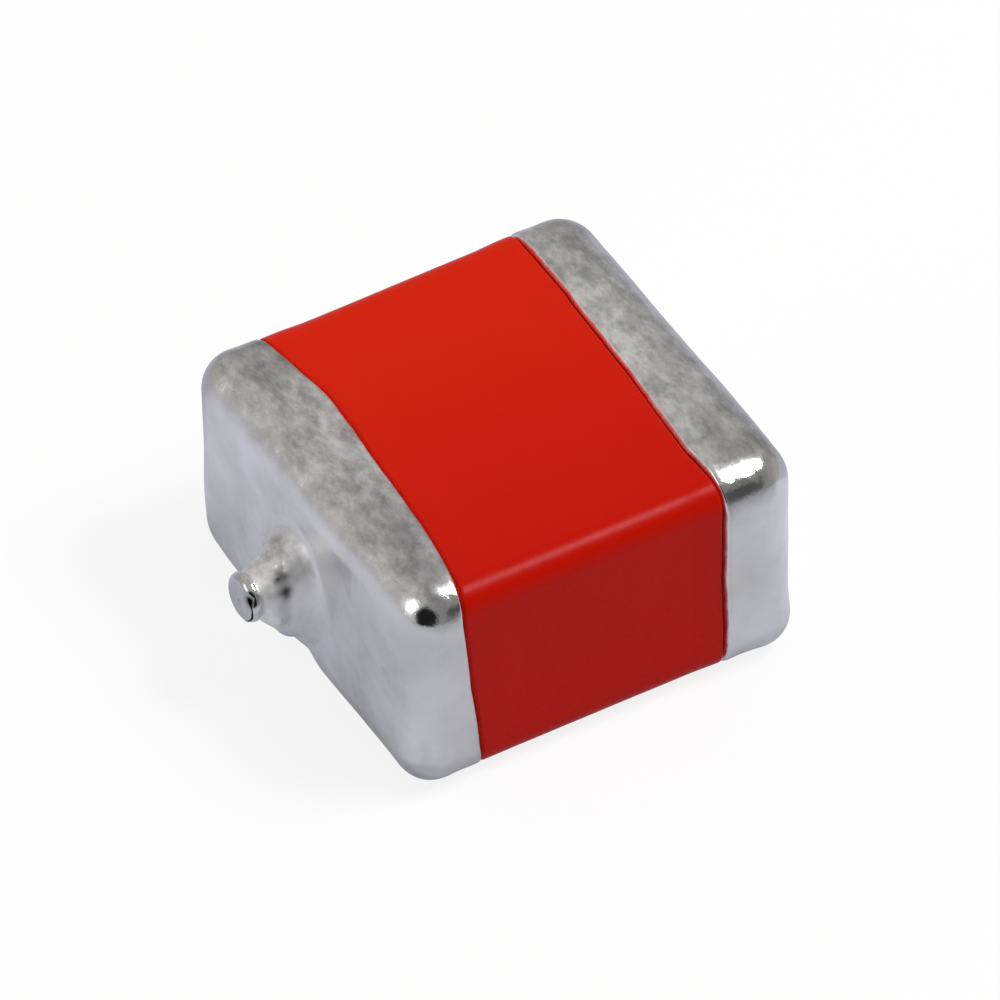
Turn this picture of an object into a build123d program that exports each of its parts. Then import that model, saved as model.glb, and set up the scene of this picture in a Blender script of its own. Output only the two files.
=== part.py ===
"""Solid tantalum chip capacitor with a conformal epoxy coating, plated end caps and a wire nib.

Millimetres. X runs from the anode end, where the nib is, to the cathode end. Y is the width and
Z is up. The chip lies on the flats of its two caps. The origin is on that plane, in the middle
of the whole part's length and width, nib included.
"""

import os

from build123d import *

# Outside sizes over the plating, without the nib
body_length = 6.0
body_width = 6.0
body_height = 3.5

# Layers of each cap, from the outside in. The plating is a nickel barrier under tin, a few
# micrometres in all on the real part. It is drawn thicker to stay a sound solid.
plating_thickness = 0.03
silver_base_thickness = 0.09
plating_lap = 0.06
rim_bevel = 0.05

# Coating: its long edges, its ends under the caps and its walls over the coated pellet. The
# caps' edges are rounder than the coating's.
coating_edge_radius = 0.34
coating_end_corner_radius = 0.04
coating_end_taper = 0.45
coating_side_wall = 0.2
coating_face_wall = 0.125
coating_cathode_wall = 0.2
coating_anode_wall = 0.68
cap_edge_gain = 0.26

# How far the anode cap laps along the chip from its end face. The dipped margin swells
# towards the back of the top face and slants down the front face.
anode_lap_top_back = 1.0
anode_lap_top_crest = 1.19
anode_lap_top_middle = 1.11
anode_lap_top_front = 0.77
anode_lap_under_back = 1.02
anode_lap_under_middle = 1.13
anode_lap_under_front = 1.1
anode_crest_offset = 1.2

# The same for the cathode cap, whose margin is nearly straight
cathode_lap_top_back = 1.07
cathode_lap_top_front = 1.18
cathode_lap_under_back = 1.12
cathode_lap_under_front = 1.15

# Pellet, whose cathode end is bevelled, and the coats on it. The outer two coats stop short of
# its anode face.
pellet_edge_radius = 0.25
pellet_bevel_depth = 0.2
pellet_bevel_length = 0.3
manganese_thickness = 0.05
graphite_thickness = 0.03
silver_coat_thickness = 0.05
graphite_setback = 0.2
silver_setback = 0.35

# Riser wire, its washer and the epoxy tower round it
wire_radius = 0.22
wire_depth_in_pellet = 3.0
wire_head_overhang = 0.05
wire_head_height = 0.08
wire_head_bevel = 0.03
washer_radius = 0.6
washer_thickness = 0.2
tower_foot_radius = 1.2
tower_top_radius = 0.9

# Nib: the plated wire end, and the mound of plating metal at its root, whose outline runs from
# its foot on the end face over its shoulder to the wire
nib_reach = 0.95
mound_foot_radius = 0.9
mound_shoulder_radius = 0.65
mound_shoulder_reach = 0.35
mound_reach = 0.725
mound_top_direction = (-0.4, -0.9)

# Conductive adhesive in the window at the coating's cathode end
adhesive_width = 3.6
adhesive_height = 1.8
adhesive_corner_radius = 0.3

# Worked out from the sizes above
cap_wall = plating_thickness + silver_base_thickness
cap_edge_radius = coating_edge_radius + cap_edge_gain
coats = manganese_thickness + graphite_thickness + silver_coat_thickness
middle_height = body_height / 2
anode_face = (nib_reach - body_length) / 2
cathode_face = anode_face + body_length
coating_anode_face = anode_face + cap_wall
coating_cathode_face = cathode_face - cap_wall
pellet_anode_face = coating_anode_face + coating_anode_wall + manganese_thickness
pellet_cathode_face = coating_cathode_face - coating_cathode_wall - coats
pellet_width = body_width - 2 * (cap_wall + coating_side_wall + coats)
pellet_height = body_height - 2 * (cap_wall + coating_face_wall + coats)


def on_wire_axis(x):
    return Pos(x, 0, middle_height)


def case_block(inset):
    """The chip's outside form with every edge rounded, moved inwards by the inset."""
    block = Box(body_length - 2 * inset, body_width - 2 * inset, body_height - 2 * inset)
    return on_wire_axis((anode_face + cathode_face) / 2) * fillet(block.edges(), cap_edge_radius - inset)


def long_block(start, end, width, height, radius):
    """A square-ended block between two places along X, whose long edges are rounded."""
    block = Box(end - start, width, height)
    return on_wire_axis((start + end) / 2) * fillet(block.edges().filter_by(Axis.X), radius)


def pellet_block(growth):
    """The pressed pellet's form with coats of this total thickness on it."""
    block = long_block(
        pellet_anode_face - growth,
        pellet_cathode_face + growth,
        pellet_width + 2 * growth,
        pellet_height + 2 * growth,
        pellet_edge_radius + growth,
    )
    end = block.faces().sort_by(Axis.X)[-1]
    return chamfer(end.edges(), pellet_bevel_depth, pellet_bevel_length, reference=end)


def past(x):
    """A block that takes in everything on the cathode side of a place along X."""
    reach = Box(body_length, body_width, body_height, align=(Align.MIN, Align.CENTER, Align.CENTER))
    return on_wire_axis(x) * reach


def turned(outline):
    """A closed outline in the XY plane, turned about the wire's axis."""
    return on_wire_axis(0) * revolve(make_face(outline), Axis.X)


def cone_on_wire(start, end, start_radius, end_radius):
    return turned(Polyline((start, 0), (start, start_radius), (end, end_radius), (end, 0), close=True))


def rod_on_wire(start, end, radius):
    return cone_on_wire(start, end, radius, radius)


def wire_end(cover):
    """The wire's end with the head that the cutter left, under a cover of this thickness."""
    tip = anode_face - nib_reach + plating_thickness - cover
    shoulder = anode_face - nib_reach + plating_thickness + wire_head_height + cover
    neck = rod_on_wire(tip, anode_face + plating_thickness, wire_radius + cover)
    head = rod_on_wire(tip, shoulder, wire_radius + wire_head_overhang + cover)
    tip_edge = head.edges().filter_by(GeomType.CIRCLE).group_by(Axis.X)[0]
    return neck + chamfer(tip_edge, wire_head_bevel)


def wire():
    shaft = rod_on_wire(anode_face, pellet_anode_face + wire_depth_in_pellet, wire_radius)
    return wire_end(0) + shaft


def washer():
    face = pellet_anode_face
    return rod_on_wire(face - washer_thickness, face, washer_radius) - wire()


def tower():
    foot = pellet_anode_face - manganese_thickness
    cone = cone_on_wire(coating_anode_face, foot, tower_top_radius, tower_foot_radius)
    return cone - washer() - wire()


def pellet_coats():
    """The three coats on the pellet, each against the one below it."""
    over_manganese = manganese_thickness + graphite_thickness
    manganese = pellet_block(manganese_thickness) - pellet_block(0) - washer() - wire()
    graphite = pellet_block(over_manganese) - pellet_block(manganese_thickness)
    silver = pellet_block(coats) - pellet_block(over_manganese)
    graphite_edge = pellet_anode_face + graphite_setback
    silver_edge = pellet_anode_face + silver_setback
    return manganese, graphite & past(graphite_edge), silver & past(silver_edge)


def adhesive():
    """A rounded slug between the silver coat's end and the coating's end."""
    start = pellet_cathode_face + coats
    return long_block(start, coating_cathode_face, adhesive_width, adhesive_height, adhesive_corner_radius)


def coating_form():
    """The coating's outside. Its ends taper in, which leaves room for the caps' rounder edges."""
    block = long_block(
        coating_anode_face,
        coating_cathode_face,
        body_width - 2 * cap_wall,
        body_height - 2 * cap_wall,
        coating_edge_radius,
    )
    depth = coating_edge_radius - coating_end_corner_radius
    for side in (0, -1):
        end = block.faces().sort_by(Axis.X)[side]
        block = chamfer(end.edges(), depth, coating_end_taper, reference=end)
    return block


def margin_zone(face, inwards, top_laps, under_laps, short):
    """Everything from a cap's margin outwards, past its end of the chip.

    Each list pairs a place across the chip with the cap's lap there. The margin follows a
    smooth curve on the top face and another on the underside, and is straight between them.
    A layer under the outer one stops short of the margin.
    """
    side = body_width / 2 + 1
    beyond = face - inwards * (nib_reach + 1)

    def outline(laps, height):
        curve = Spline([(face + inwards * (lap - short), place, height) for place, lap in laps])
        front, back = curve @ 0, curve @ 1
        corners = [(back.X, side), (beyond, side), (beyond, -side), (front.X, -side)]
        square = Polyline(back, *[(x, y, height) for x, y in corners], front)
        return Face(Wire([curve, *square.edges()]))

    return loft([outline(under_laps, 0), outline(top_laps, body_height)], ruled=True)


def anode_zone(short):
    edge = body_width / 2
    top = [
        (-edge, anode_lap_top_front),
        (0, anode_lap_top_middle),
        (anode_crest_offset, anode_lap_top_crest),
        (edge, anode_lap_top_back),
    ]
    under = [(-edge, anode_lap_under_front), (0, anode_lap_under_middle), (edge, anode_lap_under_back)]
    return margin_zone(anode_face, 1, top, under, short)


def cathode_zone(short):
    edge = body_width / 2
    top = [(-edge, cathode_lap_top_front), (edge, cathode_lap_top_back)]
    under = [(-edge, cathode_lap_under_front), (edge, cathode_lap_under_back)]
    return margin_zone(cathode_face, -1, top, under, short)


def mound():
    """The mound's outline leaves the end face along it and closes on the plated wire."""
    root = anode_face + plating_thickness
    foot = Vector(anode_face, mound_foot_radius)
    shoulder = Vector(anode_face - mound_shoulder_reach, mound_shoulder_radius)
    top = Vector(anode_face - mound_reach, wire_radius + plating_thickness)
    return turned(
        [
            Polyline(top, (top.X, 0), (root, 0), (root, mound_foot_radius), foot),
            Spline(foot, shoulder, top, tangents=[(0, -1), mound_top_direction]),
        ]
    )


def cap(zone, inwards, outside):
    """One cap as its silver base and its plating, which laps over the base's edge."""
    silver = case_block(plating_thickness) & zone(plating_lap)
    plated = outside & zone(0)
    margin = plated.faces().sort_by(Axis.X)[-1 if inwards > 0 else 0]
    plated = chamfer(margin.edges(), rim_bevel)
    coating = coating_form()
    return silver - coating - wire(), plated - silver - coating - wire()


def pieces():
    manganese, graphite, silver_coat = pellet_coats()
    anode_silver, anode_plating = cap(anode_zone, 1, case_block(0) + mound() + wire_end(plating_thickness))
    cathode_silver, cathode_plating = cap(cathode_zone, -1, case_block(0))
    coating = coating_form() - pellet_block(manganese_thickness) - graphite - silver_coat
    return {
        "tantalum_pellet": pellet_block(0) - wire(),
        "anode_wire": wire(),
        "ptfe_washer": washer(),
        "manganese_dioxide_coat": manganese,
        "graphite_coat": graphite,
        "silver_coat": silver_coat,
        "epoxy_tower": tower(),
        "cathode_silver_adhesive": adhesive(),
        "epoxy_coating": coating - washer() - tower() - wire() - adhesive(),
        "anode_silver_base": anode_silver,
        "anode_plating": anode_plating,
        "cathode_silver_base": cathode_silver,
        "cathode_plating": cathode_plating,
    }


os.makedirs("parts", exist_ok=True)
for name, solid in pieces().items():
    export_step(solid, f"parts/{name}.step")
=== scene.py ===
"""Conformally coated tantalum chip capacitor with plated caps and a wire nib, on a pale floor.

The shapes are worked out in millimetres and put into their meshes in metres. Each outside
surface is a row of closed loops round the wire's axis, from the anode end to the cathode end.
"""

import bpy
import numpy as np
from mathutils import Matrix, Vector


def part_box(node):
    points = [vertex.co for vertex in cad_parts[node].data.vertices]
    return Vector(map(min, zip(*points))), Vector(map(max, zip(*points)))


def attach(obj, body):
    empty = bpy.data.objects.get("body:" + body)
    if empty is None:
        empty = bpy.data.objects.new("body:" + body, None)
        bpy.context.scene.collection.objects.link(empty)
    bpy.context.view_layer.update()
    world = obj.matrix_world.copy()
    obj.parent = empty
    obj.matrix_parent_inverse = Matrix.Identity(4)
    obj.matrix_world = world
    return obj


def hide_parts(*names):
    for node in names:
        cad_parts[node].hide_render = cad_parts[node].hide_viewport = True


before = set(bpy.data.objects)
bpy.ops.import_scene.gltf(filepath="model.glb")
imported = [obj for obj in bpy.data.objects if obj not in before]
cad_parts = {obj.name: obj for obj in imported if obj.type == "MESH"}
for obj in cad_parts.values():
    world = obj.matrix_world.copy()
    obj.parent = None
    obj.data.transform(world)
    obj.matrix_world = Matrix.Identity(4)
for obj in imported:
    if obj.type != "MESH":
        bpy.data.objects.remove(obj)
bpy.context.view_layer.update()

MM = 0.001


# Sizes from the frame, in millimetres

def node_box(node):
    """Lowest and highest corners of a CAD node, in millimetres."""
    low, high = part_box(node)
    return np.array(low) / MM, np.array(high) / MM


anode_low, _ = node_box("anode_plating")
_, cathode_high = node_box("cathode_plating")
coating_low, coating_high = node_box("epoxy_coating")
anode_silver_low, _ = node_box("anode_silver_base")
wire_low, _ = node_box("anode_wire")
manganese_low, manganese_high = node_box("manganese_dioxide_coat")
graphite_low, graphite_high = node_box("graphite_coat")
silver_low, silver_high = node_box("silver_coat")
adhesive_low, adhesive_high = node_box("cathode_silver_adhesive")
_, tower_high = node_box("epoxy_tower")

half_width = cathode_high[1]
half_height = cathode_high[2] / 2
cathode_face = cathode_high[0]
cap_wall = cathode_face - coating_high[0]
anode_face = coating_low[0] - cap_wall
plating = anode_silver_low[0] - anode_face
nib_reach = anode_face - anode_low[0]

# Sizes read from the photograph and from the CAD source
cap_edge = 0.6
coating_edge = 0.34
coating_end_corner = 0.04
coating_end_taper = 0.45
tower_top_radius = 0.9
wire_radius = 0.22
wire_head_radius = 0.27
wire_head_height = 0.08
mound_reaches = [0.79, 0.74, 0.66, 0.54, 0.43, 0.32, 0.2, 0.1, 0.04, 0.0]
mound_radii = [0.27, 0.345, 0.42, 0.5, 0.565, 0.64, 0.72, 0.8, 0.88, 0.97]
mound_sag = 0.13
mound_slim = 0.36
mound_slim_step = (0.75, -0.4)
mound_drip = 0.14
drip_reach = 0.3
drip_size = 0.2
tip_radius = 0.365
tip_edge = 0.13
tip_back_edge = 0.03
tip_height = 0.165
tip_rise = 0.03
tip_aside = 0.05
tip_lean_start = 0.5
adhesive_corner = 0.3
pellet_corner = 0.38
pellet_bevel_depth = 0.2
pellet_bevel_length = 0.3
rim_run = 0.1
rim_share = 0.7
rim_wall = 0.03
rim_width = 0.05
dimple_depth = 0.022
dimple_fade = 0.4
belly_swell = 0.05
groove_depth = 0.06
groove_width = 0.028
ripple_depth = 0.025
ripple_step = (1.75, -0.5)

# Radii of the small circles that close on a pole
tip_pole_radius = 0.02
end_pole_radius = 0.05

# Loops along each stretch of a surface
tip_rows = 8
tip_edge_rows = 14
tip_back_rows = 8
mound_rows = 64
anode_flat_rows = 12
cathode_flat_rows = 26
edge_rows = 22
side_rows = 18
rim_rows = 20
silver_short_rows = 12
coat_flat_rows = 6
coat_rows = [5, 4, 16, 80, 16, 4, 6]

# How far the coating's closest loops lie under a cap's margin, and past it
close_under = 0.08
close_past = 0.12

# Laps of the caps' margins at places across the chip, from front to back: on top, and underneath
anode_laps = [
    ([-3, -2.52, -1.56, -0.95, 0, 1.34, 2, 2.5, 3], [0.71, 0.86, 1.01, 1.045, 1.11, 1.19, 1.1, 1.03, 0.98]),
    ([-3, 0, 3], [1.08, 1.12, 1.02]),
]
cathode_laps = [
    ([-3, -2.5, -1.5, -0.6, 3], [1.195, 1.225, 1.2, 1.14, 1.07]),
    ([-3, 0, 3], [1.2, 1.14, 1.12]),
]

# Unevenness of the margins, of the caps' dimples and of the coat's ripples: strength and spacing
# of its coarse and its fine lumps
waver_lumps = [(0.018, 0.9), (0.008, 0.3)]
dimple_lumps = [(0.32, 1.1), (0.18, 0.45)]
ripple_lumps = [(0.3, 1.6), (0.2, 0.7)]

# Beads of plating metal on the mound, and last a nick in the cut tip: reach, angle round the wire in degrees,
# size, height and change of tone, which paints their dark reflections and highlights
mound_beads = [
    (0.38, 100, 0.08, 0.03, 0.3),
    (0.43, 120, 0.11, 0.035, -0.62),
    (0.43, 150, 0.1, 0.03, -0.85),
    (0.3, 60, 0.16, 0.03, 0.0),
    (0.55, 200, 0.12, 0.03, 0.0),
    (0.35, 250, 0.16, 0.03, -0.3),
    (0.4, 320, 0.13, 0.03, 0.0),
    (0.92, 148, 0.08, -0.03, -0.7),
]

# Where the dipped caps are fuller or thinner than a rounded block: depth from the end face,
# place across, height, size and how far out the surface stands
anode_swells = [
    (0.29, 2.86, 3.14, 0.45, 0.055),
    (0.08, 2.7, 2.5, 0.5, 0.02),
    (0.04, 2.56, 0.45, 0.45, -0.04),
    (0.07, 0.02, 0.32, 0.24, -0.07),
    (0.27, -2.68, 0.19, 0.35, 0.035),
]
cathode_swells = [
    (0.29, -2.86, 0.36, 0.4, 0.06),
    (0.07, -1.3, 3.18, 1.4, 0.025),
    (0.99, -2.7, 3.42, 0.08, -0.008),
    (0.73, -2.7, 3.42, 0.08, -0.008),
]

# Spots of the anode cap painted lighter or darker, which stand in for the light and shade of its reflections
# as well as the deposit's own mottling: depth from the end face, place across, height, size and change of
# tone
anode_mottle_and_painted_light = [
    (0.0, -0.65, 2.6, 0.5, 0.26),
    (-0.1, -0.3, 2.0, 0.3, 0.16),
    (0.1, -2.4, 0.9, 0.5, 0.12),
    (0.3, -2.6, 2.6, 0.35, -0.14),
    (0.4, -2.55, 3.4, 0.3, 0.16),
    (0.75, -1.45, 3.5, 0.3, -0.14),
    (0.97, 0.55, 3.5, 0.3, 0.14),
    (0.46, 1.9, 3.4, 0.3, 0.1),
    (0.75, 2.1, 3.4, 0.25, -0.1),
]

# Streak along each cap's margin where the deposit is duller or brighter: its depth under the margin, its
# width and its change of tone in front and behind. Last, how dark the top's front is painted, a painted
# shade.
anode_streak = (0.35, 0.2, -0.17, 0.03, 0.07)
cathode_streak = (0.15, 0.2, 0.2, 0.2, 0.2)

# Brightness of the deposit: its plain level, how much brighter its thin margin is painted, a painted
# highlight, how much brighter the mound is, and how dull the top's back and the cut tip are, over the tip's
# edge less and less
deposit_level = 0.8
painted_rim_highlight = 0.3
mound_shine = 0.13
back_dullness = 0.16
tip_dullness = 0.4
tip_edge_dullness = 0.1

# Eased steps of the deposit's tone, its painted shade and its coarseness: start and run, which is negative
# where the step rises backwards
top_step = (3.2, 0.25)
front_step = (0.3, -3)
back_step = (1.2, 0.9)
back_inside_step = (0.8, -0.3)
streak_step = (-1.2, 1.6)
facing_step = (0.5, 0.4)

# Burnish: how far a normal turns away from the axes before it starts, and to the full, its share
# on the end's edges, and the normal's part across the chip that makes it whole. Last, over what
# length the tip's polish and the mound's frost set in.
burnish_start = 0.04
burnish_run = 0.14
burnish_least = 0.3
burnish_across = 0.3
polish_run = 0.05
frost_run = 0.1


# Shapes

def spread(start, stop, count):
    """Evenly spaced values as a column, one for each loop."""
    return np.linspace(start, stop, count)[:, None]


def eased(value):
    """Goes from 0 to 1 with level ends: 3 v^2 - 2 v^3."""
    value = np.clip(value, 0, 1)
    return value * value * (3 - 2 * value)


def step(value, start, run):
    """An eased step from 0 at the start to 1 a run further on."""
    return eased((value - start) / run)


def curve_through(places, values, at):
    """Cubic through given points, whose slope at each is that between its neighbours."""
    places, values = np.array(places), np.array(values)
    slopes = np.gradient(values, places)
    k = np.clip(np.searchsorted(places, at) - 1, 0, len(places) - 2)
    run = places[k + 1] - places[k]
    t = (np.clip(at, places[0], places[-1]) - places[k]) / run
    start = (1 + 2 * t) * (1 - t) ** 2 * values[k] + t * (1 - t) ** 2 * run * slopes[k]
    return start + t * t * (3 - 2 * t) * values[k + 1] + t * t * (t - 1) * run * slopes[k + 1]


def lumps(points, size, seed):
    """Smooth noise from -1 to 1: random values on a cubic lattice of this spacing, eased between."""
    lattice, shift = 16, 40
    values = np.random.default_rng(seed).uniform(-1, 1, (lattice, lattice, lattice))
    places = points / size + shift
    cell = np.floor(places).astype(int)
    share = places - cell
    share = share * share * (3 - 2 * share)
    total = 0
    for corner in np.ndindex(2, 2, 2):
        weight = np.prod(np.where(corner, share, 1 - share), axis=-1)
        i, j, k = np.moveaxis((cell + corner) % lattice, -1, 0)
        total = total + weight * values[i, j, k]
    return total


def uneven(points, layers, seeds, level=0):
    """A level plus layers of lumps, each with its strength, spacing and seed."""
    return sum([strength * lumps(points, size, seed) for (strength, size), seed in zip(layers, seeds)], level)


def side_angles(arc_steps, flank_steps, top_steps):
    """Angles round the axis of points spread along a cap's sides and evenly over its edges."""
    flank = np.linspace(0, half_height - cap_edge, flank_steps, endpoint=False)
    turn = np.linspace(0, np.pi / 2, arc_steps, endpoint=False)
    top = np.linspace(half_width - cap_edge, 0, top_steps, endpoint=False)
    edge_y = half_width - cap_edge + cap_edge * np.cos(turn)
    edge_z = half_height - cap_edge + cap_edge * np.sin(turn)
    y = np.concatenate([np.full(flank_steps, half_width), edge_y, top])
    z = np.concatenate([flank, edge_z, np.full(top_steps, half_height)])
    quarter = np.append(np.arctan2(z, y), np.pi / 2)
    half = np.concatenate([quarter[:-1], np.pi - quarter[:0:-1]])
    return np.concatenate([half, half + np.pi])


angles = side_angles(arc_steps=26, flank_steps=22, top_steps=40)


def reach(width, height, corner):
    """Distance from the axis to a rounded rectangle of these half sizes, at every angle.

    On a side it is the half size over the direction's share along it. On a corner it solves
    |d t - centre| = corner for t.
    """
    c, s = np.abs(np.cos(angles)), np.abs(np.sin(angles))
    side = np.minimum(width / np.maximum(c, 1e-9), height / np.maximum(s, 1e-9))
    centre_y, centre_z = width - corner, height - corner
    along = c * centre_y + s * centre_z
    on_corner = along + np.sqrt(np.maximum(along**2 - centre_y**2 - centre_z**2 + corner**2, 0))
    return np.where((side * c > centre_y) & (side * s > centre_z), on_corner, side)


def loops(x, distance):
    """Points at each place along X and distance from the axis: (x, d cos a, d sin a + height)."""
    x, distance, angle = np.broadcast_arrays(x, distance, angles)
    return np.stack([x, distance * np.cos(angle), distance * np.sin(angle) + half_height], axis=-1)


def outward(surface):
    """Unit normals of a surface of loops: the cross product of its two directions.

    The loops may run towards either end.
    """
    along = np.gradient(surface, axis=0) * np.sign(surface[-1, 0, 0] - surface[0, 0, 0])
    around = np.roll(surface, -1, axis=1) - np.roll(surface, 1, axis=1)
    normal = np.cross(around, along)
    return normal / np.maximum(np.linalg.norm(normal, axis=-1, keepdims=True), 1e-12)


def solid(name, surface, poles=None):
    """Mesh object of a surface of loops.

    Point j of loop i meets point j + 1 of its loop and point j of loop i + 1. Given two poles,
    the end loops close on them. Otherwise the last loop joins the first.
    """
    rows, around = surface.shape[:2]
    index = np.arange(rows * around).reshape(rows, around)
    here = index if poles is None else index[:-1]
    there = np.roll(index, -1, axis=0) if poles is None else index[1:]
    quads = np.stack([here, there, np.roll(there, -1, axis=1), np.roll(here, -1, axis=1)], axis=-1)
    faces = quads.reshape(-1, 4).tolist()
    points = surface.reshape(-1, 3)
    if poles is not None:
        first, last = len(points), len(points) + 1
        points = np.vstack([points, poles])
        faces += [(first, a, b) for a, b in zip(index[0], np.roll(index[0], -1))]
        faces += [(last, b, a) for a, b in zip(index[-1], np.roll(index[-1], -1))]
    mesh = bpy.data.meshes.new(name)
    mesh.from_pydata(points * MM, [], faces)
    if signed_volume(mesh) < 0:
        mesh.flip_normals()
    mesh.shade_smooth()
    piece = bpy.data.objects.new(name, mesh)
    bpy.context.scene.collection.objects.link(piece)
    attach(piece, "root")
    return piece


def signed_volume(mesh):
    """Sum of the cones from the origin to every triangle: positive when the faces point outwards."""
    mesh.calc_loop_triangles()
    corners = np.zeros(3 * len(mesh.loop_triangles), dtype=int)
    mesh.loop_triangles.foreach_get("vertices", corners)
    places = np.zeros(3 * len(mesh.vertices))
    mesh.vertices.foreach_get("co", places)
    a, b, c = np.moveaxis(places.reshape(-1, 3)[corners.reshape(-1, 3)], 1, 0)
    return np.einsum("ij,ij->i", a, np.cross(b, c)).sum() / 6


def arc(centre, radius, start, stop, count):
    """Points (reach, radius) of an arc of a turned profile, between two angles in degrees."""
    turn = np.radians(np.linspace(start, stop, count))
    return np.stack([centre[0] + radius * np.cos(turn), centre[1] + radius * np.sin(turn)], axis=-1)


def nib_profile():
    """Reach from the end face and radius, from the tip to the mound's foot.

    The cut tip is a rounded button on a narrower neck. The mound is a cone whose foot flares out
    on the end face, with a smooth curve through its reaches and radii.
    """
    rim = tip_radius - tip_edge
    radii = np.linspace(tip_pole_radius, rim, tip_rows, endpoint=False)
    face = np.stack([np.full(tip_rows, nib_reach), radii], axis=-1)
    front_edge = arc((nib_reach - tip_edge, rim), tip_edge, 0, 90, tip_edge_rows)
    back_middle = nib_reach - tip_height + tip_back_edge, tip_radius - tip_back_edge
    back_edge = arc(back_middle, tip_back_edge, 90, 170, tip_back_rows)[1:]
    reaches = np.linspace(mound_reaches[0], 0, mound_rows)
    radii = curve_through(mound_reaches[::-1], mound_radii[::-1], reaches)
    profile = np.vstack([face, front_edge, back_edge, np.stack([reaches, radii], axis=-1)])
    return profile[:, :1], profile[:, 1:]


def bell_round(centre, size, surface):
    """A bell curve of the distance from a centre: exp(-(distance / size)^2)."""
    return np.exp(-((np.linalg.norm(surface - centre, axis=-1) / size) ** 2))


def swollen(surface, centre, size, height):
    """The surface moved out by a bell curve round a centre, and the bell."""
    bell = bell_round(centre, size, surface)
    return surface + outward(surface) * (height * bell)[..., None], bell


def beaded(surface):
    """The surface with the mound's beads, its polish and its change of tone, which brightens the mound and
    paints the beads' dark reflections and highlights.

    The polish is 1 on the beads and the tip, and -1 on the frosted mound.
    """
    out = anode_face - surface[..., 0]
    frost = eased(out / frost_run)
    polish = 2 * eased((out - mound_reaches[0] + polish_run) / polish_run) - frost
    mound_tone_and_painted_reflections = mound_shine * frost
    for bead_reach, turn, size, height, change in mound_beads:
        row = np.argmin(np.abs(out[:, 0] - bead_reach))
        column = np.argmin(np.abs(angles - np.radians(turn)))
        surface, bell = swollen(surface, surface[row, column], size, height)
        polish = np.maximum(polish, 2 * bell - 1)
        mound_tone_and_painted_reflections = mound_tone_and_painted_reflections + change * bell
    return surface, polish, mound_tone_and_painted_reflections


def margin_of(laps, seeds):
    """A cap's lap at every angle, with the slight waver of a dipped edge.

    It passes from the curve through the laps underneath to the one through those on top by height.
    """
    outline = loops(0, reach(half_width, half_height, cap_edge))
    top, under = [curve_through(places, values, outline[:, 1]) for places, values in laps]
    return under + (top - under) * outline[:, 2] / (2 * half_height) + uneven(outline, waver_lumps, seeds)


def cap_sides(margin):
    """Offsets from the end face and distances from the axis of a cap, from its flat to its rim.

    The edge's section turns from the end face to the sides. Over the rim's run the wall rounds
    off to nothing on the coating.
    """
    turn = np.radians(spread(0, 90, edge_rows))
    grown = cap_edge * np.sin(turn)
    edge_x = cap_edge * (1 - np.cos(turn))
    edge_reach = reach(half_width - cap_edge + grown, half_height - cap_edge + grown, grown)

    full = reach(half_width, half_height, cap_edge)
    run = np.minimum(rim_run, rim_share * (margin - cap_edge))
    side_x = cap_edge + spread(0, 1, side_rows)[1:] * (margin - run - cap_edge)

    fall = np.radians(spread(0, 90, rim_rows))[1:]
    rim_x = margin - run + run * np.sin(fall)
    laid = coating_outline(margin - rim_x) + rim_wall * np.cos(fall)
    rim_reach = laid + (full - laid) * np.cos(fall)

    x = np.concatenate([np.broadcast_to(edge_x, edge_reach.shape), side_x, rim_x])
    return x, np.concatenate([edge_reach, np.broadcast_to(full, side_x.shape), rim_reach])


def coating_outline(under, taper=0):
    """The coating's section at a depth under a cap's margin, which is negative between the caps.

    It swells between the caps. Along the margin runs a groove with a bell curve's section.
    """
    groove = groove_depth * np.exp(-((under / groove_width) ** 2))
    grown = belly_swell * eased(1 - under / rim_run) - groove - taper
    return reach(coating_high[1] + grown, half_height - cap_wall + grown, coating_edge + grown)


def end_flat(inner, count):
    """Distances from the axis over the end's flat, from a circle to the flat's square outline."""
    outline = reach(half_width - cap_edge, half_height - cap_edge, 0)
    share = spread(0, 1, count)[1:-1]
    return inner + share * (outline - inner)


def coating_reach(x):
    """The coating's distance from the axis at places along X. Its ends taper in under the caps."""
    from_end = np.minimum(x - coating_low[0], coating_high[0] - x)
    taper = (coating_edge - coating_end_corner) * (1 - np.clip(from_end / coating_end_taper, 0, 1))
    under = np.maximum(anode_face + anode_margin - x, x - cathode_face + cathode_margin)
    return coating_outline(under, taper)


def dimpled(surface, inside, seeds, swells):
    """The surface with slight dimples, which fade out at the rim, and its swells."""
    low = np.clip(uneven(surface, dimple_lumps, seeds, 0.5), 0, 1)
    surface = surface - outward(surface) * (dimple_depth * low * eased(inside / dimple_fade))[..., None]
    inwards = np.sign(surface[-1, 0, 0] - surface[0, 0, 0])
    face = anode_face if inwards > 0 else cathode_face
    for depth, across, height, size, stand in swells:
        surface, _ = swollen(surface, (face + inwards * depth, across, height), size, stand)
    return surface


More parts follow.
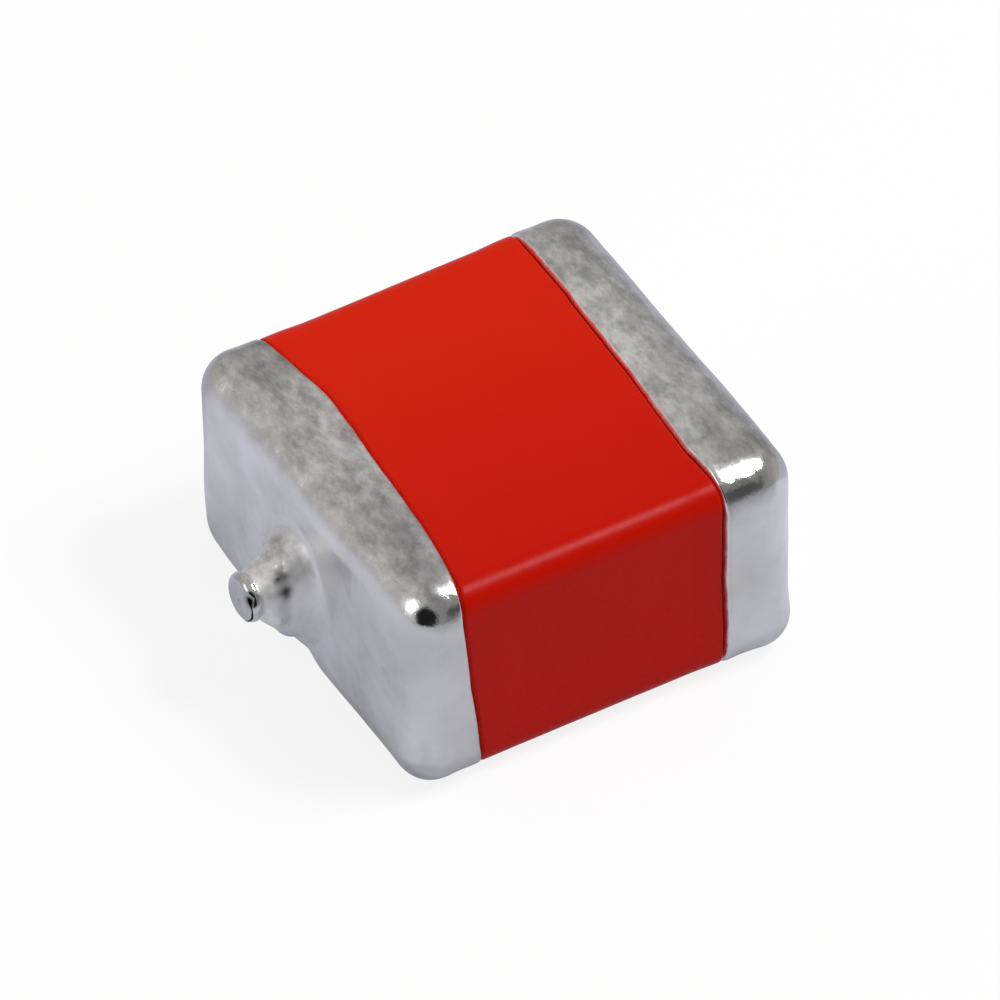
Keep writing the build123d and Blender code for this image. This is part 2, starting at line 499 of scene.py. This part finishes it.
def anode_cap():
    """The plating with its nib, and the silver base under it."""
    nib, nib_radius = nib_profile()
    flat = end_flat(nib_radius[-1], anode_flat_rows)
    side_x, side_reach = cap_sides(anode_margin)
    nib_rows, around = len(nib), len(angles)
    fade = 1 - spread(0, 1, anode_flat_rows)[1:-1]
    x = np.concatenate([np.broadcast_to(-nib, (nib_rows, around)), np.zeros_like(flat), side_x])
    distance = np.concatenate([np.broadcast_to(nib_radius, (nib_rows, around)), flat, side_reach])
    inside = anode_margin - x

    def over_end(values):
        """Values of the nib's loops, which fade out over the end's flat."""
        return np.concatenate([values, values[-1] * fade, np.zeros((len(side_x), 1))])

    lean = step(nib, tip_lean_start, mound_reaches[0] - tip_lean_start)
    sag = mound_sag * np.clip(1 - nib / mound_reaches[0], 0, 1)
    slim = mound_slim * step(nib, *mound_slim_step)
    drip = mound_drip * np.exp(-(((nib - drip_reach) / drip_size) ** 2))
    block = loops(anode_face + x, distance)
    across, height = block[..., 1], block[..., 2] - half_height
    block[..., 1] += over_end(tip_aside * lean) - np.minimum(across, 0) * over_end(slim)
    block[..., 2] += np.minimum(height, 0) * over_end(drip) + over_end(tip_rise * lean - sag)
    outside, polish, mound_tone_and_painted_reflections = beaded(dimpled(block, inside, (21, 24), anode_swells))
    under = layer_under(outside, inside)[nib_rows - 1:-1]

    head_end = anode_face - wire_low[0] - wire_head_height
    wire_reach = np.array([anode_face - wire_low[0]] * 2 + [head_end] * 2 + [-plating])[:, None]
    wire_size = np.array([tip_pole_radius] + [wire_head_radius] * 2 + [wire_radius] * 2)[:, None]
    bore = loops(anode_face - wire_reach, wire_size)
    tips = [(anode_face - nib_reach, tip_aside, half_height + tip_rise), (wire_low[0], 0, half_height)]
    shell = np.concatenate([outside, under[::-1], bore[::-1]])
    skin = solid("anode_cap_plating", shell, tips)
    worn, tone = rubbed(outside), tone_of(outside, inside, *anode_streak)
    worn[:nib_rows] = polish[:nib_rows]
    # The mound's brighter tone, with the painted reflections and highlights of its beads and nick
    tone[:nib_rows] += mound_tone_and_painted_reflections[:nib_rows]
    # Painted light and shade of the reflections, with the deposit's mottling, in spots
    for depth, across, height, size, change in anode_mottle_and_painted_light:
        tone += change * bell_round((anode_face + depth, across, height), size, outside)
    tone[:tip_rows] -= tip_dullness
    tone[tip_rows:tip_rows + tip_edge_rows] -= spread(tip_dullness, tip_edge_dullness, tip_edge_rows)
    paint(skin, "burnish", worn)
    paint(skin, "tone", tone)
    paint(skin, "coarse", coarseness(outside))

    base = np.concatenate([bore[-1:], under[:-silver_short_rows]])
    return skin, solid("anode_cap_silver", lined(base, wire_radius))


def cathode_cap():
    """The plating of the other end, which has no nib, and the silver base under it."""
    flat = end_flat(end_pole_radius, cathode_flat_rows)
    side_x, side_reach = cap_sides(cathode_margin)
    x = np.concatenate([np.zeros_like(flat), side_x])
    inside = cathode_margin - x
    distance = np.concatenate([flat, side_reach])
    outside = dimpled(loops(cathode_face - x, distance), inside, (41, 44), cathode_swells)
    under = layer_under(outside, inside)[:-1]
    middle = np.array([cathode_face, 0, half_height])
    shell = np.concatenate([outside, under[::-1]])
    skin = solid("cathode_cap_plating", shell, [middle, middle - [plating, 0, 0]])
    paint(skin, "burnish", rubbed(outside))
    paint(skin, "tone", tone_of(outside, inside, *cathode_streak))
    paint(skin, "coarse", coarseness(outside))

    poles = [middle - [plating, 0, 0], middle - [cap_wall, 0, 0]]
    return skin, solid("cathode_cap_silver", lined(under[:-silver_short_rows], end_pole_radius), poles)


def layer_under(surface, inside):
    """The plating's other side, which closes on the coating at the rim."""
    thickness = plating * np.clip(inside / rim_wall, 0, 1)
    return surface - outward(surface) * thickness[..., None]


def lined(outer, least):
    """A surface with the coating's own outside behind it, in the other order."""
    x = np.clip(outer[..., 0], coating_low[0], coating_high[0])
    distance = np.hypot(outer[..., 1], outer[..., 2] - half_height)
    inner = loops(x, np.maximum(np.minimum(distance, coating_reach(x)), least))
    return np.concatenate([outer, inner[::-1]])


def rubbed(outside):
    """1 where an edge or corner was rubbed smooth, and 0 on the flats.

    It grows with how far the normal turns away from all three axes, and less on the end's edges.
    """
    normal = np.abs(outward(outside))
    turned = step(1 - normal.max(axis=-1), burnish_start, burnish_run)
    return turned * (burnish_least + (1 - burnish_least) * eased(normal[..., 1] / burnish_across))


def tone_of(outside, inside, depth, width, change, change_behind, painted_shade_front):
    """How bright the deposit is painted: more at its thin margin, a painted highlight, less towards the top's
    front, a painted shade, and less towards its back.

    These are eased steps, of the depth under the margin or of the place on the top. The top also
    has a streak along its margin, a bell curve of the depth under it, whose strength passes from
    its front to its back value by an eased step.
    """
    across, height = outside[..., 1], outside[..., 2]
    # A painted highlight along the thin margin
    rim = painted_rim_highlight * eased(1 - inside / rim_width)
    dull_back = back_dullness * step(across, *back_step) * step(inside, *back_inside_step)
    # Painted shade towards the top's front, and a duller top's back
    dullness_and_painted_shade = np.maximum(painted_shade_front * step(across, *front_step), dull_back)
    strength = change + (change_behind - change) * step(across, *streak_step)
    streak = strength * np.exp(-(((inside - depth) / width) ** 2))
    return deposit_level + rim + (streak - dullness_and_painted_shade) * step(height, *top_step)


def coarseness(outside):
    """1 where the cap faces up or down, where its deposit is coarse, and 0 on the sides."""
    return step(np.abs(outward(outside)[..., 2]), *facing_step)


def paint(piece, name, values):
    """A point attribute with a value for each outside point, and 0 for the points behind them."""
    values = np.append(values.ravel(), np.zeros(len(piece.data.vertices) - values.size))
    attribute = piece.data.attributes.new(name, "FLOAT", "POINT")
    attribute.data.foreach_set("value", values.astype(np.float32))


def coating():
    """The epoxy coat: out over its tapered ends and belly, and back along its cavity."""
    ends = coating_low[0], coating_high[0]
    end_width = coating_high[1] - coating_edge + coating_end_corner
    end_height = half_height - cap_wall - coating_edge + coating_end_corner
    end_outline = reach(end_width, end_height, coating_end_corner)
    window = reach(adhesive_high[1], (adhesive_high[2] - adhesive_low[2]) / 2, adhesive_corner)

    flat_share = spread(0, 1, coat_flat_rows)
    tower_flat = tower_top_radius + flat_share[:-1] * (end_outline - tower_top_radius)
    near, far = anode_face + anode_margin, cathode_face - cathode_margin
    stations = [ends[0], ends[0] + coating_end_taper, near - close_under, near + close_past]
    stations += [far - close_past, far + close_under, ends[1] - coating_end_taper, ends[1]]
    belly_x = np.concatenate([
        start + spread(0, 1, count) * (stop - start - (stop - start) / count) + 0 * angles
        for start, stop, count in zip(stations, stations[1:], coat_rows)
    ])
    belly = loops(belly_x, coating_reach(belly_x))
    belly = belly - outward(belly) * rippled(belly)[..., None]
    window_flat = end_outline + flat_share[1:] * (window - end_outline)

    def coat_section(low, high, drop):
        """Section of a coat on the pellet, whose outside is this far in."""
        corner = pellet_corner - (silver_high[1] - high[1])
        return reach(high[1] - drop, (high[2] - low[2]) / 2 - drop, corner - drop)

    back = [
        loops(silver_high[0], window),
        loops(silver_high[0], coat_section(silver_low, silver_high, pellet_bevel_depth)),
        loops(silver_high[0] - pellet_bevel_length, coat_section(silver_low, silver_high, 0)),
        loops(silver_low[0], coat_section(silver_low, silver_high, 0)),
        loops(silver_low[0], coat_section(graphite_low, graphite_high, 0)),
        loops(graphite_low[0], coat_section(graphite_low, graphite_high, 0)),
        loops(graphite_low[0], coat_section(manganese_low, manganese_high, 0)),
        loops(manganese_low[0], coat_section(manganese_low, manganese_high, 0)),
        loops(manganese_low[0], tower_high[1]),
    ]
    anode_end, cathode_end = loops(ends[0], tower_flat), loops(ends[1], window_flat)
    return solid("epoxy_body", np.concatenate([anode_end, belly, cathode_end, np.stack(back)]))


def rippled(surface):
    """Depth of the cured coat's slow ripples between the caps, which fade out towards them."""
    middle = surface[..., 0] - (anode_face + cathode_face) / 2
    waves = uneven(surface, ripple_lumps, (51, 52), 0.5)
    return ripple_depth * np.clip(waves, 0, 1) * step(np.abs(middle), *ripple_step)


# Materials, with the sizes of their patterns in millimetres. The epoxy's filler and the hidden
# layers' grain are finer on the real part, and drawn as coarse as they need to show.

tin_grain = 0.12
tin_flecks = 0.2
tin_dents = 0.35
tin_clouds = 0.9
tin_relief = 0.022
epoxy_filler = 0.12
epoxy_relief = 0.003


def linear(hex_code):
    """Linear colour from an sRGB hex value."""
    srgb = np.array([int(hex_code[i:i + 2], 16) for i in (1, 3, 5)]) / 255
    low, high = srgb / 12.92, ((srgb + 0.055) / 1.055) ** 2.4
    return (*np.where(srgb <= 0.04045, low, high).tolist(), 1.0)


def add(tree, kind, settings=(), **links):
    """A node with its settings, and with links or values for its inputs, named or numbered."""
    node = tree.nodes.new(kind)
    for key, value in dict(settings).items():
        setattr(node, key, value)
    for key, value in links.items():
        socket = node.inputs[int(key[1:]) if key[0] == "_" else key.replace("_", " ")]
        if isinstance(value, bpy.types.NodeSocket):
            tree.links.new(value, socket)
        else:
            socket.default_value = value
    return node


def new_material(name):
    """An empty node material, its tree and the places on the piece that its patterns read."""
    material = bpy.data.materials.new(name)
    material.use_nodes = True
    tree = material.node_tree
    tree.nodes.clear()
    places = add(tree, "ShaderNodeTexCoord").outputs["Object"]
    return material, tree, places


def finish_material(tree, **inputs):
    """The shader with these inputs, joined to the material's output."""
    shader = add(tree, "ShaderNodeBsdfPrincipled", **inputs)
    add(tree, "ShaderNodeOutputMaterial", Surface=shader.outputs[0])


def electroplated_tin():
    """Matte tin over nickel, barrel plated.

    The deposit is cloudy, and streaked across the chip where it is coarse. The mound is frosted.
    The tumbled corners are burnished brighter and slightly dented. The tone it reads paints a highlight along
    the thin margin, shade on the top's front, and dark reflections and highlights on the mound's beads and
    the tip's nick.
    """
    material, tree, places = new_material("electroplated_tin")
    worn, tone, coarse = [
        add(tree, "ShaderNodeAttribute", {"attribute_name": name}).outputs["Fac"]
        for name in ("burnish", "tone", "coarse")
    ]
    grain = add(
        tree, "ShaderNodeTexNoise", Vector=places, Scale=1 / (tin_grain * MM), Detail=3.0, Roughness=0.6,
    ).outputs[0]
    stretch = (1.0, 0.55, 1.0)
    drawn = add(tree, "ShaderNodeVectorMath", {"operation": "MULTIPLY"}, _0=places, _1=stretch).outputs[0]
    flecks = add(
        tree, "ShaderNodeTexNoise", Vector=drawn, Scale=1 / (tin_flecks * MM), Detail=4.0, Roughness=0.68,
    ).outputs[0]
    dents = add(tree, "ShaderNodeTexNoise", Vector=places, Scale=1 / (tin_dents * MM), Detail=1.0).outputs[0]
    clouds = add(
        tree, "ShaderNodeTexNoise", Vector=places, Scale=1 / (tin_clouds * MM), Detail=3.0,
    ).outputs[0]
    cloudy = add(tree, "ShaderNodeMapRange", Value=clouds, From_Min=0.3, From_Max=0.7).outputs[0]
    colour = add(
        tree, "ShaderNodeMix", {"data_type": "RGBA"}, _0=cloudy, _6=linear("#EAE8E6"), _7=linear("#FFFFFF"),
    )
    speckle = add(
        tree, "ShaderNodeMapRange", Value=flecks, From_Min=0.35, From_Max=0.65, To_Min=0.66, To_Max=1.22,
    ).outputs[0]
    mottle = add(tree, "ShaderNodeMix", {"data_type": "FLOAT"}, _0=coarse, _2=1.0, _3=speckle).outputs[0]
    level = add(tree, "ShaderNodeMath", {"operation": "MULTIPLY"}, _0=mottle, _1=tone).outputs[0]
    toned = add(tree, "ShaderNodeVectorMath", {"operation": "SCALE"}, _0=colour.outputs[2], Scale=level)
    rough = add(
        tree, "ShaderNodeMapRange", Value=worn, From_Min=-1.0, From_Max=1.0, To_Min=0.58, To_Max=0.11,
    ).outputs[0]
    patchy = add(
        tree, "ShaderNodeMapRange", Value=grain, From_Min=0.3, From_Max=0.7, To_Min=0.82, To_Max=1.18,
    ).outputs[0]
    gloss = add(tree, "ShaderNodeMath", {"operation": "MULTIPLY"}, _0=rough, _1=patchy)
    fine = add(tree, "ShaderNodeMath", {"operation": "MULTIPLY"}, _0=grain, _1=0.25)
    height = add(tree, "ShaderNodeMath", {"operation": "ADD"}, _0=fine.outputs[0], _1=dents)
    relief = add(tree, "ShaderNodeBump", Strength=1.0, Distance=tin_relief * MM, Height=height.outputs[0])
    finish_material(
        tree, Base_Color=toned.outputs[0], Metallic=1.0, Roughness=gloss.outputs[0], Normal=relief.outputs[0],
    )
    return material


def red_epoxy():
    """Filled red epoxy, dipped and cured.

    The skin is smooth and satin. Its colour is painted a little paler towards the back, a painted falloff of
    the light, and its filler gives a slight unevenness of gloss.
    """
    material, tree, places = new_material("red_epoxy")
    # Painted light: the colour passes from the darker front to the paler back, a painted falloff of the light
    across = add(tree, "ShaderNodeSeparateXYZ", Vector=places).outputs["Y"]
    back = add(tree, "ShaderNodeMapRange", Value=across, From_Min=-3 * MM, From_Max=3 * MM).outputs[0]
    filler = add(
        tree, "ShaderNodeTexNoise", Vector=places, Scale=1 / (epoxy_filler * MM), Detail=2.0,
    ).outputs[0]
    colour = add(
        tree, "ShaderNodeMix", {"data_type": "RGBA"}, _0=back, _6=linear("#C21204"), _7=linear("#D82206"),
    )
    rough = add(
        tree, "ShaderNodeMapRange", Value=filler, From_Min=0.3, From_Max=0.7, To_Min=0.26, To_Max=0.32,
    )
    relief = add(tree, "ShaderNodeBump", Strength=0.5, Distance=epoxy_relief * MM, Height=filler)
    finish_material(
        tree, Base_Color=colour.outputs[2], Roughness=rough.outputs[0], IOR=1.45, Specular_IOR_Level=0.09,
        Normal=relief.outputs[0],
    )
    return material


def plain_layer(name, dark, light, size_mm, rough, metallic, relief_mm):
    """A hidden layer: one grain size gives its colour, gloss and relief."""
    material, tree, places = new_material(name)
    grain = add(tree, "ShaderNodeTexNoise", Vector=places, Scale=1 / (size_mm * MM), Detail=3.0).outputs[0]
    colour = add(tree, "ShaderNodeMix", {"data_type": "RGBA"}, _0=grain, _6=linear(dark), _7=linear(light))
    gloss = add(tree, "ShaderNodeMapRange", Value=grain, To_Min=rough - 0.06, To_Max=rough + 0.06)
    relief = add(tree, "ShaderNodeBump", Strength=0.7, Distance=relief_mm * MM, Height=grain)
    finish_material(
        tree, Base_Color=colour.outputs[2], Metallic=metallic, Roughness=gloss.outputs[0],
        Normal=relief.outputs[0],
    )
    return material


# The layers that no side shows: node, material, its dark and light colours, grain in millimetres,
# roughness, metallic and relief in millimetres
hidden_layers = [
    ("tantalum_pellet", "sintered_tantalum", "#4A4A4D", "#77777A", 0.06, 0.8, 1.0, 0.012),
    ("anode_wire", "drawn_tantalum_wire", "#85868A", "#A3A4A8", 0.04, 0.35, 1.0, 0.004),
    ("ptfe_washer", "waxy_ptfe", "#E6E6E2", "#F2F2EF", 0.2, 0.45, 0.0, 0.004),
    ("manganese_dioxide_coat", "manganese_dioxide", "#141312", "#2A2826", 0.05, 0.9, 0.0, 0.012),
    ("graphite_coat", "brushed_graphite_coat", "#232325", "#3A3A3D", 0.05, 0.6, 0.0, 0.004),
    ("silver_coat", "silver_paint", "#B4B2AE", "#CFCDC9", 0.05, 0.5, 1.0, 0.004),
    ("epoxy_tower", "amber_epoxy", "#B08A48", "#C49C58", 0.4, 0.25, 0.0, 0.004),
    ("cathode_silver_adhesive", "silver_filled_adhesive", "#A7A5A1", "#C4C2BE", 0.06, 0.55, 1.0, 0.004),
]


def dress(node, material):
    """Give a CAD node's object a new material in every slot."""
    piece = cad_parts[node]
    for slot in piece.material_slots:
        slot.material = material


# Camera: parallel projection, as the photograph's edges are parallel

image_pixels = 1000
camera_distance = 100
view_azimuth = -30.6
view_elevation = 44.34
pixels_per_mm = 75.29
aim_shift_right = 4.1 / pixels_per_mm
aim_shift_down = 2.0 / pixels_per_mm


def place_camera():
    """The camera looks at the chip's middle, off it by the photograph's shift."""
    azimuth, elevation = np.radians([view_azimuth, view_elevation])
    level = np.cos(elevation)
    back = Vector((np.sin(azimuth) * level, -np.cos(azimuth) * level, np.sin(elevation)))
    data = bpy.data.cameras.new("camera")
    data.type = "ORTHO"
    data.ortho_scale = image_pixels / pixels_per_mm * MM
    data.clip_start = 0.001
    data.clip_end = 2.0
    camera = bpy.data.objects.new("camera", data)
    turn = back.to_track_quat("Z", "Y")
    right, up = turn @ Vector((1, 0, 0)), turn @ Vector((0, 1, 0))
    middle = Vector(((anode_face + cathode_face) / 2, 0, half_height))
    aim = middle + right * aim_shift_right - up * aim_shift_down
    camera.rotation_euler = turn.to_euler()
    camera.location = (aim + back * camera_distance) * MM
    bpy.context.scene.collection.objects.link(camera)
    bpy.context.scene.camera = camera


# The key light: where it stands, how far off and how wide in metres, and its radiance
key_direction = (0.459, -0.265, 0.848)
key_distance = 0.16
key_size = 0.066
key_radiance = 15.0


def soft_box():
    """A round soft light that faces the part: its power is pi^2 r^2 times its radiance."""
    data = bpy.data.lights.new("key_soft_box", "AREA")
    data.shape = "DISK"
    data.size = key_size
    data.energy = key_radiance * np.pi * np.pi * (key_size / 2) ** 2
    lamp = bpy.data.objects.new("key_soft_box", data)
    direction = Vector(key_direction).normalized()
    lamp.location = direction * key_distance
    lamp.rotation_euler = direction.to_track_quat("Z", "Y").to_euler()
    lamp.visible_camera = False
    bpy.context.scene.collection.objects.link(lamp)


# What the metal sees of the room: direction, inner and outer angle in degrees, and colour. Each
# patch lies over the ones before it.
room_colour = "#969492"
room_level = 1.6
room_patches = [
    ((0.1, -1.0, 0.25), 20, 75, "#707070"),
    ((0.35, 0.1, 0.93), 8, 30, "#808080"),
    ((0.64, 0.74, 0.1), 10, 35, "#808080"),
    ((-0.71, -0.65, 0.29), 20, 32, "#161618"),
    ((0.33, -0.86, 0.38), 6, 19, "#454545"),
    ((-0.9, 0.16, 0.42), 9, 22, "#FFFFFF"),
]


def studio_world():
    """White behind the part. Its light is a grey room, darker in front, with a panel on the left."""
    world = bpy.data.worlds.new("studio")
    bpy.context.scene.world = world
    world.use_nodes = True
    tree = world.node_tree
    tree.nodes.clear()
    direction = add(tree, "ShaderNodeTexCoord").outputs["Generated"]
    colour = linear(room_colour)
    for aim, inner, outer, patch_colour in room_patches:
        aim = tuple(Vector(aim).normalized())
        facing = add(tree, "ShaderNodeVectorMath", {"operation": "DOT_PRODUCT"}, _0=direction, _1=aim)
        share = add(
            tree, "ShaderNodeMapRange", {"interpolation_type": "SMOOTHSTEP"}, Value=facing.outputs["Value"],
            From_Min=np.cos(np.radians(outer)), From_Max=np.cos(np.radians(inner)),
        )
        patch = add(
            tree, "ShaderNodeMix", {"data_type": "RGBA"}, _0=share.outputs[0], _6=colour,
            _7=linear(patch_colour),
        )
        colour = patch.outputs[2]
    room = add(tree, "ShaderNodeBackground", Color=colour, Strength=room_level)
    white = add(tree, "ShaderNodeBackground", Color=linear("#FFFFFF"), Strength=1.0)
    camera_ray = add(tree, "ShaderNodeLightPath").outputs["Is Camera Ray"]
    seen = add(tree, "ShaderNodeMixShader", _0=camera_ray, _1=room.outputs[0], _2=white.outputs[0])
    add(tree, "ShaderNodeOutputWorld", Surface=seen.outputs[0])


# What the metal sees of the floor, which glows for it. It is darker against the chip and behind it, a painted
# shadow, and in front and far out, a painted shade, each by an eased step with its start and run. The floor's
# grid crowds towards the chip.
away_from_camera = (0.51, 0.86)
floor_by_chip = 0.6
by_chip_step = (0, 0.8)
dark_behind = 0.4
behind_step = (2, 1.5)
dark_before = 0.22
before_step = (0, -4)
dark_far = 0.3
far_step = (-7, -8)
floor_reach = 400
floor_lines = 161
floor_crowding = 6
floor_to_camera = 0.85
floor_to_metal = 0.7


def floor_lightness(x, y):
    """How light the metal sees the floor: darker against the chip and behind it, a painted shadow, and in
    front and far out, a painted shade.

    All are eased steps: of the distance from the chip's footprint, of the distance past its
    middle away from the camera, and of how far it is in front.
    """
    middle = (anode_face + cathode_face) / 2
    away = np.maximum(np.abs(x - middle), np.abs(y)) - half_width
    # Painted shadow on the floor's glow against the chip
    near = floor_by_chip + (1 - floor_by_chip) * step(away, *by_chip_step)
    behind = away_from_camera[0] * x + away_from_camera[1] * y
    depth = dark_behind * step(behind, *behind_step) + dark_before * step(behind, *before_step)
    return near * (1 - depth) * (1 - dark_far * step(y, *far_step))


def pale_paper():
    """Matte pale paper, lightened where the camera or the metal sees it, which keeps the shadow. Where the
    metal sees it, it glows lavender with a painted shadow by the chip.
    """
    material, tree, _ = new_material("pale_paper")
    path = add(tree, "ShaderNodeLightPath").outputs
    to_camera = path["Is Camera Ray"]
    colour = add(
        tree, "ShaderNodeMix", {"data_type": "RGBA"}, _0=to_camera, _6=linear("#DDDDE1"),
        _7=linear("#FFFFFF"),
    )
    matte = add(tree, "ShaderNodeBsdfDiffuse", Color=colour.outputs[2])
    white = add(tree, "ShaderNodeEmission", Color=linear("#FFFFFF"), Strength=1.0)
    lightness = add(tree, "ShaderNodeAttribute", {"attribute_name": "lightness"}).outputs["Fac"]
    lavender = add(tree, "ShaderNodeEmission", Color=linear("#D8DAE8"), Strength=lightness)
    shares = [
        add(tree, "ShaderNodeMath", {"operation": "MULTIPLY"}, _0=ray, _1=share).outputs[0]
        for ray, share in ((to_camera, floor_to_camera), (path["Is Glossy Ray"], floor_to_metal))
    ]
    seen = add(tree, "ShaderNodeMixShader", _0=shares[0], _1=matte.outputs[0], _2=white.outputs[0])
    glossy = add(tree, "ShaderNodeMixShader", _0=shares[1], _1=seen.outputs[0], _2=lavender.outputs[0])
    add(tree, "ShaderNodeOutputMaterial", Surface=glossy.outputs[0])
    return material


def pale_floor():
    """A flat sheet. Its grid lines lie at reach * sinh(k t) / sinh(k), with t from -1 to 1."""
    line = np.sinh(np.linspace(-floor_crowding, floor_crowding, floor_lines))
    line = floor_reach * line / np.sinh(floor_crowding)
    x, y = [axis.ravel() for axis in np.meshgrid(line, line)]
    first = np.arange(floor_lines**2).reshape(floor_lines, floor_lines)[:-1, :-1].ravel()
    beyond = first + floor_lines
    mesh = bpy.data.meshes.new("floor")
    points = np.stack([x, y, np.zeros_like(x)], axis=-1) * MM
    mesh.from_pydata(points, [], np.stack([first, first + 1, beyond + 1, beyond], axis=-1).tolist())
    seen_lightness = mesh.attributes.new("lightness", "FLOAT", "POINT")
    seen_lightness.data.foreach_set("value", floor_lightness(x, y).astype(np.float32))
    mesh.materials.append(pale_paper())
    floor = bpy.data.objects.new("floor", mesh)
    bpy.context.scene.collection.objects.link(floor)


bpy.context.scene.view_settings.view_transform = "Standard"
place_camera()
studio_world()
soft_box()
pale_floor()

tin = electroplated_tin()
silver_paste = plain_layer("cured_silver_paste", "#B9B5AE", "#D6D2CB", 0.05, 0.5, 1.0, 0.004)
epoxy = red_epoxy()

anode_margin = margin_of(anode_laps, (11, 12))
cathode_margin = margin_of(cathode_laps, (31, 32))
anode_skin, anode_base = anode_cap()
cathode_skin, cathode_base = cathode_cap()
body = coating()

for piece, node, slot, material in (
    (anode_skin, "anode_plating", "tin_plating", tin),
    (cathode_skin, "cathode_plating", "tin_plating", tin),
    (anode_base, "anode_silver_base", "silver_termination", silver_paste),
    (cathode_base, "cathode_silver_base", "silver_termination", silver_paste),
    (body, "epoxy_coating", "red_epoxy", epoxy),
):
    piece.data.materials.append(material)
    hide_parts(node)

for node, *look in hidden_layers:
    dress(node, plain_layer(*look))
